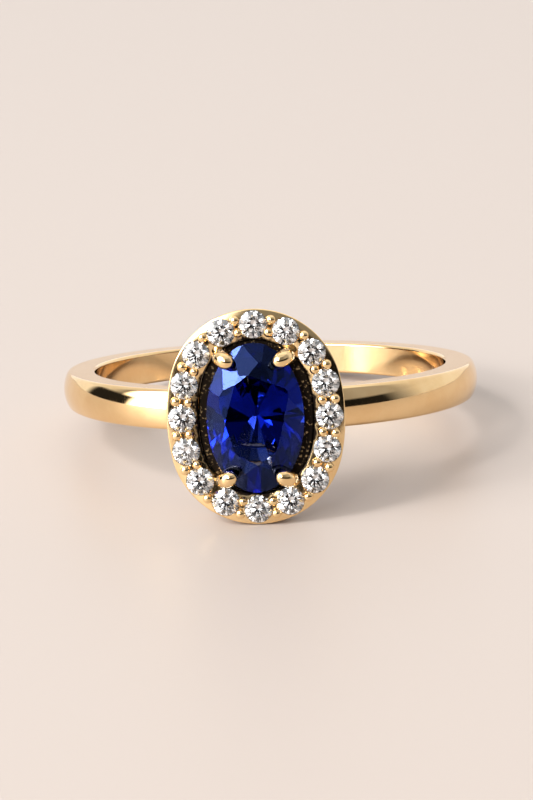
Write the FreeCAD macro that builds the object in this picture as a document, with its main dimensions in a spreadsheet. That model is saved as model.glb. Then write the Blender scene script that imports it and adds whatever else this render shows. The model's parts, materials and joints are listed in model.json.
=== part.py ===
import FreeCAD, Part
import math
import os
import Sketcher
from FreeCAD import Placement, Rotation, Vector

# A yellow-gold engagement ring: an oval centre stone in four claws, a halo of sixteen round brilliants
# set in an oval tray with raised grains, two gallery rails under the head, and a plain band.
#
# Everything is drawn about the finger's axis Z: the head points along -Y and its long axis lies along Z.
# "Height" is the distance in front of that axis, along -Y. The whole ring is then laid down on its side,
# so that the head's edge and the back of the band rest on one level surface.

DRIVING_DIMENSIONS = [
    ("finger_radius", 8.5, "inside of the band"),
    ("band_edge_radius", 9.8, "outside of the band at its edges"),
    ("band_crown_radius", 10.05, "outside of the band at the middle of its low dome"),
    ("band_front_width", 1.9, "band width at the head"),
    ("band_back_width", 1.5, "band width at the back"),
    ("band_outer_round", 0.22, "rounding of the band's outer edges"),
    ("band_inner_round", 0.16, "rounding of the band's inner edges"),
    ("saddle_height", 9.75, "flat on the band that carries the head"),
    ("halo_half_length", 4.2, "line through the halo stones, from its centre to its end"),
    ("halo_half_width", 3.33, "the same line, from its centre to its side"),
    ("halo_end_radius", 3.23, "the same line, radius of its two ends"),
    ("halo_stone_count", 16, "round stones in the halo"),
    ("halo_stone_radius", 0.625, "round stone at its girdle"),
    ("halo_girdle_height", 11.66, "height of the round stones' girdles"),
    ("halo_stone_turn", 17, "degrees that each round stone is turned from the one before"),
    ("tray_back_height", 10.55, "back face of the halo tray"),
    ("tray_front_height", 11.75, "front face of the halo tray"),
    ("tray_outer_offset", 0.71, "tray's outer edge, out from the line of stones"),
    ("tray_inner_offset", 0.7, "tray's inner edge, in from the line of stones"),
    ("tray_taper", 8, "degrees that the tray's outer wall draws in towards the finger"),
    ("seat_clearance", 0.01, "gap round each round stone"),
    ("azure_radius", 0.35, "hole through the tray behind each round stone"),
    ("grain_radius", 0.21, "raised grain that holds the round stones"),
    ("grain_offset", 0.29, "grain's distance from the line of stones"),
    ("center_half_length", 3.4, "centre stone at its girdle"),
    ("center_half_width", 2.2, "centre stone at its girdle"),
    ("center_girdle_height", 11.95, "height of the centre stone's girdle"),
    ("claw_wire_radius", 0.375, "round wire of the claws"),
    ("claw_azimuth", 28.2, "degrees from the head's long axis to each claw"),
    ("claw_foot_radius", 1.65, "claw's foot, from the middle of the head"),
    ("claw_stem_radius", 3.15, "claw's upright stem, from the middle of the head"),
    ("claw_foot_rise", 0.2, "upright length of the claw's foot"),
    ("claw_lean", 60, "degrees that the claw leans out between foot and stem"),
    ("claw_foot_bend", 0.4, "radius of the bend above the foot"),
    ("claw_shoulder_bend", 0.6, "radius of the bend under the stem"),
    ("claw_bend_height", 12.08, "height where the claw starts to bend over the stone"),
    ("claw_tip_bend", 0.45, "radius of the bend over the stone"),
    ("claw_tip_angle", 52, "degrees that the tip bends in"),
    ("base_rail_height", 9.75, "back face of the lower gallery rail"),
    ("base_rail_depth", 0.6, "lower gallery rail, back to front"),
    ("base_rail_half_length", 1.5, "middle line of the lower rail, from its centre to its end"),
    ("base_rail_half_width", 1.1, "middle line of the lower rail, from its centre to its side"),
    ("base_rail_end_radius", 0.95, "middle line of the lower rail, radius of its two ends"),
    ("base_rail_half_wall", 0.3, "half the lower rail's wall"),
    ("seat_rail_height", 10.98, "back face of the upper gallery rail"),
    ("seat_rail_depth", 0.4, "upper gallery rail, back to front"),
    ("seat_rail_half_length", 3.09, "middle line of the upper rail, from its centre to its end"),
    ("seat_rail_half_width", 2.22, "middle line of the upper rail, from its centre to its side"),
    ("seat_rail_end_radius", 2.12, "middle line of the upper rail, radius of its two ends"),
    ("seat_rail_half_wall", 0.41, "half the upper rail's wall, which fills the tray's opening"),
]

# Proportions of the brilliant cut, for a girdle of radius 1.
GIRDLE_HALF_THICKNESS = 0.03
CROWN_SLOPE = math.tan(math.radians(34.5))
PAVILION_SLOPE = math.tan(math.radians(41))
LOWER_GIRDLE_RADIUS = 0.23
STAR_TIP_RADIUS = 0.775
CENTER_TABLE_RADIUS = 0.6
HALO_TABLE_RADIUS = 0.57
CENTER_GIRDLE_STEPS = 6
HALO_GIRDLE_STEPS = 2

# The hollow that clears a round stone, in its girdle radii. The cone round its crown clears its upper
# girdle facets, and ends inside the table. The cone under it ends a little wider than its culet.
CROWN_ROOM_SLOPE = CROWN_SLOPE * (1 - STAR_TIP_RADIUS * math.cos(math.pi / 8)) / (1 - STAR_TIP_RADIUS)
CROWN_ROOM_TOP_RADIUS = 0.6
PAVILION_ROOM_END_RADIUS = 0.03

# Metal that a cutting tool goes through is overrun by this much, and an edge is found to within this much.
OVERRUN = 1
NEAR = 0.05

# A grain this many degrees or less from a claw has no room on its inner side.
GRAIN_TO_CLAW_ANGLE = 8

doc = FreeCAD.newDocument("EngagementRing")
dims = doc.addObject("Spreadsheet::Sheet", "Dims")
for row, (alias, number, meaning) in enumerate(DRIVING_DIMENSIONS, start=1):
    dims.set(f"A{row}", meaning)
    dims.set(f"B{row}", str(number))
    dims.setAlias(f"B{row}", alias)
doc.recompute()


def size(alias):
    return float(dims.get(alias))


def bind(thing, **expressions):
    """Tie properties of an object to expressions in the sheet's names."""
    for name, expression in expressions.items():
        thing.setExpression(name, expression)
    return thing


# The ring lies on the edge of its tray and on the back of its band, so its plane is tipped by this much.
TILT = math.degrees(math.atan2(
    size("halo_half_length") + size("tray_outer_offset") - size("band_back_width") / 2,
    size("tray_front_height") + size("band_crown_radius")))
LAID_DOWN = Placement(Vector(0, 0, 0), Rotation(Vector(1, 0, 0), -TILT))


# ---- sketches ----

def origin_item(body, role):
    return next(item for item in body.Origin.OriginFeatures if item.Role == role)


def sketch_on(body, name, role, height=None):
    """A sketch on one of the body's own planes, moved along its normal to the named height."""
    sketch = body.newObject("Sketcher::SketchObject", name)
    sketch.AttachmentSupport = [(origin_item(body, role), "")]
    sketch.MapMode = "FlatFace"
    if height:
        sketch.setExpression("AttachmentOffset.Base.z", height)
    return sketch


def drive(sketch, kind, name, expression, *where):
    """Add a dimension to a sketch and bind it to an expression."""
    value = sketch.evalExpression(expression)
    value = float(getattr(value, "Value", value))
    if kind == "Angle":
        value = math.radians(value)
    index = sketch.addConstraint(Sketcher.Constraint(kind, *where, value))
    sketch.renameConstraint(index, name)
    sketch.setExpression(f"Constraints.{name}", expression)


def add_line(sketch, start, end):
    return sketch.addGeometry(Part.LineSegment(Vector(*start, 0), Vector(*end, 0)), False)


def add_arc(sketch, centre, radius, first, last):
    """An arc, anticlockwise between two angles in radians."""
    circle = Part.Circle(Vector(*centre, 0), Vector(0, 0, 1), radius)
    return sketch.addGeometry(Part.ArcOfCircle(circle, first, last), False)


def add_polygon(sketch, corners):
    """A closed outline of straight lines, each joined to the next."""
    lines = [add_line(sketch, corners[i], corners[(i + 1) % len(corners)]) for i in range(len(corners))]
    for i, line in enumerate(lines):
        sketch.addConstraint(Sketcher.Constraint("Coincident", line, 2, lines[(i + 1) % len(lines)], 1))
    return lines


def draw_oval(sketch, half_length, half_width, end_radius, offset):
    """A four-arc oval, long along the sketch's vertical axis, moved outwards by offset.

    The arguments are expressions. Every offset of one oval shares its four centres.
    """
    end_shift = f"({half_length} - {end_radius})"
    side_radius = (f"(({half_width}^2 + {end_shift}^2 - {end_radius}^2)"
                   f" / (2 * ({half_width} - {end_radius})))")
    side_shift = f"({side_radius} - {half_width})"
    length, width, end, moved, side = (float(sketch.evalExpression(e)) for e in (
        half_length, half_width, end_radius, offset, side_radius))
    spread = math.atan2(side - width, length - end)
    quarter = math.pi / 2
    top = add_arc(sketch, (0, length - end), end + moved, quarter - spread, quarter + spread)
    left = add_arc(sketch, (side - width, 0), side + moved, quarter + spread, 3 * quarter - spread)
    bottom = add_arc(sketch, (0, end - length), end + moved, 3 * quarter - spread, 3 * quarter + spread)
    right = add_arc(sketch, (width - side, 0), side + moved, spread - quarter, quarter - spread)
    for arc in (top, bottom):
        sketch.addConstraint(Sketcher.Constraint("PointOnObject", arc, 3, -2))
    for arc in (left, right):
        sketch.addConstraint(Sketcher.Constraint("PointOnObject", arc, 3, -1))
    drive(sketch, "DistanceY", "top_centre", end_shift, -1, 1, top, 3)
    drive(sketch, "DistanceY", "bottom_centre", end_shift, bottom, 3, -1, 1)
    drive(sketch, "DistanceX", "left_centre", side_shift, -1, 1, left, 3)
    drive(sketch, "DistanceX", "right_centre", side_shift, right, 3, -1, 1)
    drive(sketch, "Radius", "end_arc", f"{end_radius} + {offset}", top)
    for before, after in ((top, left), (left, bottom), (bottom, right)):
        sketch.addConstraint(Sketcher.Constraint("Tangent", before, 2, after, 1))
    sketch.addConstraint(Sketcher.Constraint("Horizontal", top, 1, top, 2))
    sketch.addConstraint(Sketcher.Constraint("Vertical", right, 1, right, 2))


def draw_bent_line(sketch, start, heading, steps):
    """A line of straights and tangent bends, from a start point on the given heading in degrees.

    start is two expressions. Each step is ("straight", name, length) or ("bend", name, radius, angle,
    side), where side is 1 for a bend to the left and -1 for one to the right.
    """
    here = Vector(*(float(sketch.evalExpression(e)) for e in start), 0)
    facing = math.radians(heading)
    before = None
    for kind, name, *amounts in steps:
        ahead = Vector(math.cos(facing), math.sin(facing), 0)
        if kind == "straight":
            there = here + ahead * float(sketch.evalExpression(amounts[0]))
            piece = add_line(sketch, (here.x, here.y), (there.x, there.y))
            entry, leave = 1, 2
        else:
            radius = float(sketch.evalExpression(amounts[0]))
            side = amounts[2]
            turn = side * math.radians(float(sketch.evalExpression(amounts[1])))
            centre = here + Vector(-ahead.y, ahead.x, 0) * side * radius
            first = math.atan2(here.y - centre.y, here.x - centre.x)
            last = first + turn
            there = centre + Vector(math.cos(last), math.sin(last), 0) * radius
            piece = add_arc(sketch, (centre.x, centre.y), radius, min(first, last), max(first, last))
            entry, leave = (1, 2) if side > 0 else (2, 1)
            facing += turn
        if before is None:
            drive(sketch, "DistanceX", "start_across", f"-({start[0]})", piece, entry, -1, 1)
            drive(sketch, "DistanceY", "start_up", start[1], -1, 1, piece, entry)
            sketch.addConstraint(Sketcher.Constraint("Horizontal", piece))
        else:
            sketch.addConstraint(Sketcher.Constraint("Tangent", before[0], before[1], piece, entry))
        if kind == "straight":
            drive(sketch, "Distance", f"{name}_length", amounts[0], piece)
        else:
            drive(sketch, "Radius", f"{name}_radius", amounts[0], piece)
            drive(sketch, "Angle", f"{name}_angle", amounts[1], piece)
        before = (piece, leave)
        here = there


# ---- features ----

def new_body(name, placement=LAID_DOWN):
    body = doc.addObject("PartDesign::Body", name)
    body.Placement = placement
    return body


def pad(body, name, sketch, length):
    feature = body.newObject("PartDesign::Pad", name)
    feature.Profile = sketch
    feature.setExpression("Length", length)
    return feature


def pocket(body, name, sketch, length):
    """A pocket that runs the same way to both sides of its sketch."""
    feature = body.newObject("PartDesign::Pocket", name)
    feature.Profile = sketch
    feature.SideType = "Symmetric"
    feature.setExpression("Length", length)
    return feature


def check_cut(body, volume_before):
    """Stop if the last pocket took nothing away."""
    doc.recompute()
    volume = body.Shape.Volume
    if volume >= volume_before - 1e-4:
        raise RuntimeError(f"the last cut in {body.Name} removed nothing")
    return volume


def round_edges(body, name, radius, chosen):
    """Round every edge of the body that the test chosen picks."""
    base = body.Tip
    edges = [f"Edge{i}" for i, edge in enumerate(base.Shape.Edges, start=1) if chosen(edge)]
    feature = body.newObject("PartDesign::Fillet", name)
    feature.Base = (base, edges)
    feature.setExpression("Radius", radius)
    body.Tip = feature
    doc.recompute()


def primitive(kind, name, placement, **expressions):
    thing = bind(doc.addObject(kind, name), **expressions)
    thing.Placement = placement
    return thing


def fuse(name, pieces):
    joined = doc.addObject("Part::MultiFuse", name)
    joined.Shapes = pieces
    return joined


def cut(name, base, tool):
    result = doc.addObject("Part::Cut", name)
    result.Base = base
    result.Tool = tool
    return result


# ---- the band ----

def make_shank():
    """The band: a low-domed strip round the finger, narrower at the back, with a flat for the head."""
    body = new_body("shank")
    profile = sketch_on(body, "band_section", "YZ_Plane")
    inner, edge, half = size("finger_radius"), size("band_edge_radius"), size("band_front_width") / 2
    rise = size("band_crown_radius") - edge
    dome = (half ** 2 + rise ** 2) / (2 * rise)
    middle = size("band_crown_radius") - dome
    lean = math.asin(half / dome)
    bore = add_line(profile, (inner, half), (inner, -half))
    lower = add_line(profile, (inner, -half), (edge, -half))
    outer = add_arc(profile, (middle, 0), dome, -lean, lean)
    upper = add_line(profile, (edge, half), (inner, half))
    loop = (bore, lower, outer, upper)
    for i, piece in enumerate(loop):
        profile.addConstraint(Sketcher.Constraint("Coincident", piece, 2, loop[(i + 1) % 4], 1))
    profile.addConstraint(Sketcher.Constraint("Vertical", bore))
    profile.addConstraint(Sketcher.Constraint("Horizontal", lower))
    profile.addConstraint(Sketcher.Constraint("Horizontal", upper))
    profile.addConstraint(Sketcher.Constraint("PointOnObject", outer, 3, -1))
    drive(profile, "DistanceX", "bore_radius", "Dims.finger_radius", -1, 1, bore, 1)
    drive(profile, "DistanceX", "edge_radius", "Dims.band_edge_radius", -1, 1, lower, 2)
    drive(profile, "DistanceY", "width", "Dims.band_front_width", bore, 2, bore, 1)
    drive(profile, "DistanceY", "half_width", "Dims.band_front_width / 2", -1, 1, bore, 1)
    sagitta = "(Dims.band_crown_radius - Dims.band_edge_radius)"
    dome_radius = f"((Dims.band_front_width / 2)^2 + {sagitta}^2) / (2 * {sagitta})"
    drive(profile, "Radius", "dome", dome_radius, outer)
    turned = body.newObject("PartDesign::Revolution", "band_ring")
    turned.Profile = profile
    turned.ReferenceAxis = (origin_item(body, "Z_Axis"), [""])
    turned.Angle = 360
    doc.recompute()
    volume = body.Shape.Volume

    wedge = sketch_on(body, "taper_outline", "YZ_Plane")
    reach = size("band_crown_radius")
    front, back = size("band_front_width") / 2, size("band_back_width") / 2
    slope, right, top, left = add_polygon(wedge, [(-reach, front), (reach, back), (reach, 2 * front),
                                                  (-reach, 2 * front)])
    wedge.addConstraint(Sketcher.Constraint("Horizontal", top))
    for side in (left, right):
        wedge.addConstraint(Sketcher.Constraint("Vertical", side))
    drive(wedge, "DistanceX", "front_reach", "Dims.band_crown_radius", slope, 1, -1, 1)
    drive(wedge, "DistanceX", "back_reach", "Dims.band_crown_radius", -1, 1, slope, 2)
    drive(wedge, "DistanceY", "front_half_width", "Dims.band_front_width / 2", -1, 1, slope, 1)
    drive(wedge, "DistanceY", "back_half_width", "Dims.band_back_width / 2", -1, 1, slope, 2)
    drive(wedge, "DistanceY", "top", "Dims.band_front_width", -1, 1, top, 1)
    taper = pocket(body, "upper_taper", wedge, "2.2 * Dims.band_crown_radius")
    volume = check_cut(body, volume)
    mirrored = body.newObject("PartDesign::Mirrored", "lower_taper")
    mirrored.Originals = [taper]
    mirrored.MirrorPlane = (origin_item(body, "XY_Plane"), [""])
    body.Tip = mirrored
    check_cut(body, volume)

    def side_edge_radius(edge):
        """How far an edge of the band's flat sides is from the axis, and 0 for any other edge."""
        point = edge.valueAt((2 * edge.FirstParameter + edge.LastParameter) / 3)
        on_side = abs(point.z) > size("band_back_width") / 2 - NEAR
        return math.hypot(point.x, point.y) if on_side else 0

    round_edges(body, "outer_rounding", "Dims.band_outer_round",
                lambda edge: side_edge_radius(edge) > size("band_edge_radius") - NEAR)
    round_edges(body, "inner_rounding", "Dims.band_inner_round",
                lambda edge: 0 < side_edge_radius(edge) < size("finger_radius") + NEAR)
    volume = body.Shape.Volume

    flat = sketch_on(body, "saddle_outline", "XY_Plane")
    near, wide = size("saddle_height"), size("band_crown_radius") / 2
    far = size("band_crown_radius") + OVERRUN
    corners = [(-wide, -near), (wide, -near), (wide, -far), (-wide, -far)]
    seat, side, outside, other = add_polygon(flat, corners)
    for line in (seat, outside):
        flat.addConstraint(Sketcher.Constraint("Horizontal", line))
    for line in (side, other):
        flat.addConstraint(Sketcher.Constraint("Vertical", line))
    drive(flat, "DistanceY", "height", "Dims.saddle_height", seat, 1, -1, 1)
    drive(flat, "DistanceY", "outside", f"Dims.band_crown_radius + {OVERRUN}", outside, 1, -1, 1)
    drive(flat, "DistanceX", "left", "Dims.band_crown_radius / 2", seat, 1, -1, 1)
    drive(flat, "DistanceX", "right", "Dims.band_crown_radius / 2", -1, 1, seat, 2)
    pocket(body, "saddle", flat, "2 * Dims.band_front_width")
    check_cut(body, volume)
    return body


# ---- the stones ----

def brilliant(table_radius, girdle_steps, half_width, half_length):
    """A brilliant-cut stone of flat facets, its table facing -Y and its girdle's middle at the origin.

    girdle_steps is the number of small girdle facets under each upper girdle facet. An oval stone is the
    round one drawn out along Z, which keeps every facet flat.
    """
    step = math.pi / 8
    table_up = GIRDLE_HALF_THICKNESS + CROWN_SLOPE * (1 - table_radius)
    star_up = GIRDLE_HALF_THICKNESS + CROWN_SLOPE * (1 - STAR_TIP_RADIUS * math.cos(step))
    low_up = -GIRDLE_HALF_THICKNESS - PAVILION_SLOPE * (1 - LOWER_GIRDLE_RADIUS * math.cos(step))
    culet_up = -GIRDLE_HALF_THICKNESS - PAVILION_SLOPE

    def place(radius, azimuth, up):
        return Vector(half_width * radius * math.sin(azimuth), -half_width * up,
                      half_length * radius * math.cos(azimuth))

    def girdle(azimuth, corner_radius, corner_up, sign):
        """The girdle's edge where it meets the flat facet that ends in the given corner."""
        nearest = round(azimuth / (2 * step) - 0.5) * 2 * step + step
        middle = nearest + math.copysign(step / 2, azimuth - nearest)
        chord = math.cos(step / 2)
        slope = (corner_up - sign * GIRDLE_HALF_THICKNESS) / (corner_radius * chord - chord)
        return place(1, azimuth, sign * GIRDLE_HALF_THICKNESS
                     + slope * (math.cos(azimuth - middle) - chord))

    culet = place(0, 0, culet_up)
    table = [place(table_radius, 2 * step * k, table_up) for k in range(8)]
    stars = [place(STAR_TIP_RADIUS, step * (2 * k + 1), star_up) for k in range(8)]
    lows = [place(LOWER_GIRDLE_RADIUS, step * (2 * k + 1), low_up) for k in range(8)]
    facets = [table]
    for k in range(16):
        tip = k // 2
        inside = [step * (k + i / girdle_steps) for i in range(girdle_steps + 1)]
        inside = [min(max(a, step * k + 1e-9), step * (k + 1) - 1e-9) for a in inside]
        upper = [girdle(a, STAR_TIP_RADIUS, star_up, 1) for a in inside]
        lower = [girdle(a, LOWER_GIRDLE_RADIUS, low_up, -1) for a in inside]
        facets += [[stars[tip]] + upper, [lows[tip]] + lower]
        facets += [[upper[i], upper[i + 1], lower[i + 1], lower[i]] for i in range(girdle_steps)]
    for k in range(8):
        crown_edge = place(1, 2 * step * k, GIRDLE_HALF_THICKNESS)
        pavilion_edge = place(1, 2 * step * k, -GIRDLE_HALF_THICKNESS)
        facets.append([table[k], table[(k + 1) % 8], stars[k]])
        facets.append([table[k], stars[k - 1], crown_edge, stars[k]])
        facets.append([culet, lows[k - 1], pavilion_edge, lows[k]])
    faces = [Part.Face(Part.makePolygon(corners + corners[:1])) for corners in facets]
    shell = Part.makeShell(faces)
    shell.sewShape()
    solid = Part.Solid(shell)
    if solid.Volume < 0:
        solid.reverse()
    return solid


def make_stone(name, shape, placement):
    stone = doc.addObject("Part::Feature", name)
    stone.Shape = shape
    stone.Placement = placement
    return stone


def halo_spot(number):
    """Place and outward direction in the head's plan, at a number of stones clockwise from its top."""
    length, width, end = size("halo_half_length"), size("halo_half_width"), size("halo_end_radius")
    side = (width ** 2 + (length - end) ** 2 - end ** 2) / (2 * (width - end))
    spread = math.atan2(side - width, length - end)
    end_run, side_run = end * spread, side * (math.pi / 2 - spread)
    quarter = end_run + side_run
    along = (number / size("halo_stone_count") * 4 * quarter) % (4 * quarter)
    turn, rest = divmod(along, quarter)
    if turn % 2:
        rest = quarter - rest
    if rest < end_run:
        angle = rest / end
        across, up = end * math.sin(angle), length - end + end * math.cos(angle)
    else:
        angle = spread + (rest - end_run) / side
        across, up = width - side + side * math.sin(angle), side * math.cos(angle)
    right = 1 if turn < 2 else -1
    upward = 1 if turn in (0, 3) else -1
    place = Vector(right * across, 0, upward * up)
    return place, Vector(right * math.sin(angle), 0, upward * math.cos(angle))


def at_height(place, height):
    """A point of the head's plan, moved out to a height in front of the finger's axis."""
    return Vector(place.x, -height, place.z)


# ---- the claws and rails ----

def make_claw(name, azimuth, stone):
    """A round wire: foot, outward lean, upright stem, and a rounded tip bent over the centre stone."""
    around = Placement(Vector(0, 0, 0), Rotation(Vector(0, 1, 0), azimuth))
    body = new_body(f"{name}_wire", LAID_DOWN * around)
    path = sketch_on(body, "path", "YZ_Plane")
    bends = "(Dims.claw_foot_bend + Dims.claw_shoulder_bend)"
    lean = ("((Dims.claw_stem_radius - Dims.claw_foot_radius"
            f" - {bends} * (1 - cos(Dims.claw_lean))) / sin(Dims.claw_lean))")
    stem = ("(Dims.claw_bend_height - Dims.base_rail_height - Dims.claw_foot_rise"
            f" - {bends} * sin(Dims.claw_lean) - {lean} * cos(Dims.claw_lean))")
    draw_bent_line(path, ("-Dims.base_rail_height", "Dims.claw_foot_radius"), 180, [
        ("straight", "foot", "Dims.claw_foot_rise"),
        ("bend", "foot_bend", "Dims.claw_foot_bend", "Dims.claw_lean", -1),
        ("straight", "lean", lean),
        ("bend", "shoulder", "Dims.claw_shoulder_bend", "Dims.claw_lean", 1),
        ("straight", "stem", stem),
        ("bend", "tip_bend", "Dims.claw_tip_bend", "Dims.claw_tip_angle", 1),
    ])
    section = sketch_on(body, "section", "XZ_Plane", "Dims.base_rail_height")
    wire = section.addGeometry(Part.Circle(Vector(0, size("claw_foot_radius"), 0), Vector(0, 0, 1),
                                           size("claw_wire_radius")), False)
    section.addConstraint(Sketcher.Constraint("PointOnObject", wire, 3, -2))
    drive(section, "DistanceY", "foot_radius", "Dims.claw_foot_radius", -1, 1, wire, 3)
    drive(section, "Radius", "wire_radius", "Dims.claw_wire_radius", wire)
    doc.recompute()
    pipe = body.newObject("PartDesign::AdditivePipe", "wire")
    pipe.Profile = section
    pipe.Spine = (path, [f"Edge{i}" for i in range(1, len(path.Shape.Edges) + 1)])
    tip = body.newObject("PartDesign::AdditiveSphere", "tip")
    tip.AttachmentSupport = [(path, f"Vertex{len(path.Shape.Vertexes)}")]
    tip.MapMode = "Translate"
    tip.setExpression("Radius", "Dims.claw_wire_radius")
    return cut(name, body, stone)


def make_rail(name, claws):
    """An oval gallery rail, notched where the claws pass."""
    body = new_body(f"{name}_ring")
    middle = [f"Dims.{name}_{part}" for part in ("half_length", "half_width", "end_radius")]
    outline = sketch_on(body, "outline", "XZ_Plane", f"Dims.{name}_height")
    draw_oval(outline, *middle, f"Dims.{name}_half_wall")
    pad(body, "rail", outline, f"Dims.{name}_depth")
    doc.recompute()
    volume = body.Shape.Volume
    opening = sketch_on(body, "opening", "XZ_Plane", f"Dims.{name}_height")
    draw_oval(opening, *middle, f"-Dims.{name}_half_wall")
    pocket(body, "inside", opening, f"3 * Dims.{name}_depth")
    check_cut(body, volume)
    return cut(name, body, claws)


# ---- the halo tray ----

def make_tray_plate():
    """The oval plate, with its open middle and its outer wall drawn in towards the finger."""
    body = new_body("tray_plate")
    middle = ("Dims.halo_half_length", "Dims.halo_half_width", "Dims.halo_end_radius")
    depth = "(Dims.tray_front_height - Dims.tray_back_height)"
    outline = sketch_on(body, "outline", "XZ_Plane", "Dims.tray_back_height")
    draw_oval(outline, *middle, f"(Dims.tray_outer_offset - {depth} * tan(Dims.tray_taper))")
    plate = pad(body, "plate", outline, depth)
    plate.setExpression("TaperAngle", "Dims.tray_taper")
    doc.recompute()
    volume = body.Shape.Volume
    opening = sketch_on(body, "opening", "XZ_Plane", "Dims.tray_back_height")
    draw_oval(opening, *middle, "-Dims.tray_inner_offset")
    pocket(body, "inside", opening, f"3 * {depth}")
    check_cut(body, volume)
    return body


def facing_front(place, height):
    """A placement whose Z axis looks out of the head, at a height in front of the finger's axis."""
    return LAID_DOWN * Placement(at_height(place, height), Rotation(Vector(1, 0, 0), 90))


def make_tray(claws):
    """The tray: seats for the round stones, grains raised beside them, and notches for the claws."""
    count = int(size("halo_stone_count"))
    back, girdle = size("tray_back_height"), size("halo_girdle_height")
    radius = size("halo_stone_radius")
    half_girdle = GIRDLE_HALF_THICKNESS * radius
    seat_radius = "Dims.halo_stone_radius + Dims.seat_clearance"
    drills, stone_rooms, grains = [], [], []
    for number in range(count):
        place, _ = halo_spot(number)
        drills.append(primitive(
            "Part::Cylinder", f"opening_{number}", facing_front(place, girdle),
            Radius=seat_radius, Height=f"Dims.tray_front_height - Dims.halo_girdle_height + {OVERRUN}"))
        drills.append(primitive(
            "Part::Cylinder", f"azure_{number}", facing_front(place, back - OVERRUN),
            Radius="Dims.azure_radius",
            Height=f"Dims.halo_girdle_height - Dims.tray_back_height + {OVERRUN}"))
        stone_rooms.append(primitive(
            "Part::Cylinder", f"girdle_room_{number}", facing_front(place, girdle - 2 * half_girdle),
            Radius=seat_radius, Height=f"{4 * GIRDLE_HALF_THICKNESS} * Dims.halo_stone_radius"))
        crown_run = f"({1 - CROWN_ROOM_TOP_RADIUS} * Dims.halo_stone_radius + Dims.seat_clearance)"
        stone_rooms.append(primitive(
            "Part::Cone", f"crown_room_{number}", facing_front(place, girdle + half_girdle),
            Radius1=seat_radius, Radius2=f"{CROWN_ROOM_TOP_RADIUS} * Dims.halo_stone_radius",
            Height=f"{CROWN_ROOM_SLOPE:.4f} * {crown_run}"))
        stone_rooms.append(primitive(
            "Part::Cone", f"pavilion_room_{number}",
            facing_front(place, girdle - 2 * half_girdle - PAVILION_SLOPE * radius),
            Radius1=f"{PAVILION_ROOM_END_RADIUS} * Dims.halo_stone_radius", Radius2=seat_radius,
            Height=f"({PAVILION_SLOPE:.4f} + {GIRDLE_HALF_THICKNESS / 2}) * Dims.halo_stone_radius"))
    claw_azimuths = (size("claw_azimuth"), 180 - size("claw_azimuth"))
    for number in range(count):
        place, outward = halo_spot(number + 0.5)
        azimuth = abs(math.degrees(math.atan2(place.x, place.z)))
        at_claw = any(abs(azimuth - claw) < GRAIN_TO_CLAW_ANGLE for claw in claw_azimuths)
        for side in (1,) if at_claw else (1, -1):
            spot = place + outward * side * size("grain_offset")
            grains.append(primitive(
                "Part::Sphere", f"grain_{number}_{'outer' if side > 0 else 'inner'}",
                facing_front(spot, size("tray_front_height")), Radius="Dims.grain_radius"))
    drilled = cut("tray_drilled", make_tray_plate(), fuse("tray_drills", drills))
    grained = fuse("tray_grained", [drilled] + grains)
    return cut("halo_tray", grained, fuse("tray_rooms", stone_rooms + claws))


# ---- assembly ----

shank = make_shank()

center_cut = brilliant(
    CENTER_TABLE_RADIUS, CENTER_GIRDLE_STEPS, size("center_half_width"), size("center_half_length"))
center_place = LAID_DOWN * Placement(Vector(0, -size("center_girdle_height"), 0), Rotation())
center_stone = make_stone("center_sapphire", center_cut, center_place)

halo_radius = size("halo_stone_radius")
halo_cut = brilliant(HALO_TABLE_RADIUS, HALO_GIRDLE_STEPS, halo_radius, halo_radius)
halo_stones = []
for number in range(int(size("halo_stone_count"))):
    turned = Rotation(Vector(0, 1, 0), number * size("halo_stone_turn"))
    spot = at_height(halo_spot(number)[0], size("halo_girdle_height"))
    name = f"halo_diamond_{number + 1:02d}"
    halo_stones.append(make_stone(name, halo_cut, LAID_DOWN * Placement(spot, turned)))

azimuth = size("claw_azimuth")
corners = (("upper_left", -azimuth), ("upper_right", azimuth),
           ("lower_left", azimuth - 180), ("lower_right", 180 - azimuth))
claws = [make_claw(f"claw_{corner}", angle, center_stone) for corner, angle in corners]
doc.recompute()
claw_group = fuse("all_claws", claws)
base_rail = make_rail("base_rail", claw_group)
seat_rail = make_rail("seat_rail", claw_group)
halo_tray = make_tray(claws)
doc.recompute()

subparts = [shank, base_rail, seat_rail, halo_tray, *claws, center_stone, *halo_stones]
for thing in doc.Objects:
    if {"Invalid", "Error"} & set(thing.State):
        raise RuntimeError(f"{thing.Name} failed: {thing.State}")
for subpart in subparts:
    subpart.Label = subpart.Name
    if subpart.Shape.isNull() or not subpart.Shape.isValid() or subpart.Shape.Volume <= 0:
        raise RuntimeError(f"{subpart.Label} has no valid solid")

os.makedirs("parts", exist_ok=True)
for subpart in subparts:
    subpart.Shape.exportStep(f"parts/{subpart.Label}.step")
    print(f"{subpart.Label}: {len(subpart.Shape.Solids)} solid, {subpart.Shape.Volume:.3f} mm3")
print(f"the ring lies tipped by {TILT:.3f} degrees")
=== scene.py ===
import json
import math

import bmesh
import bpy
import numpy as np
from mathutils import Matrix, Vector


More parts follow.
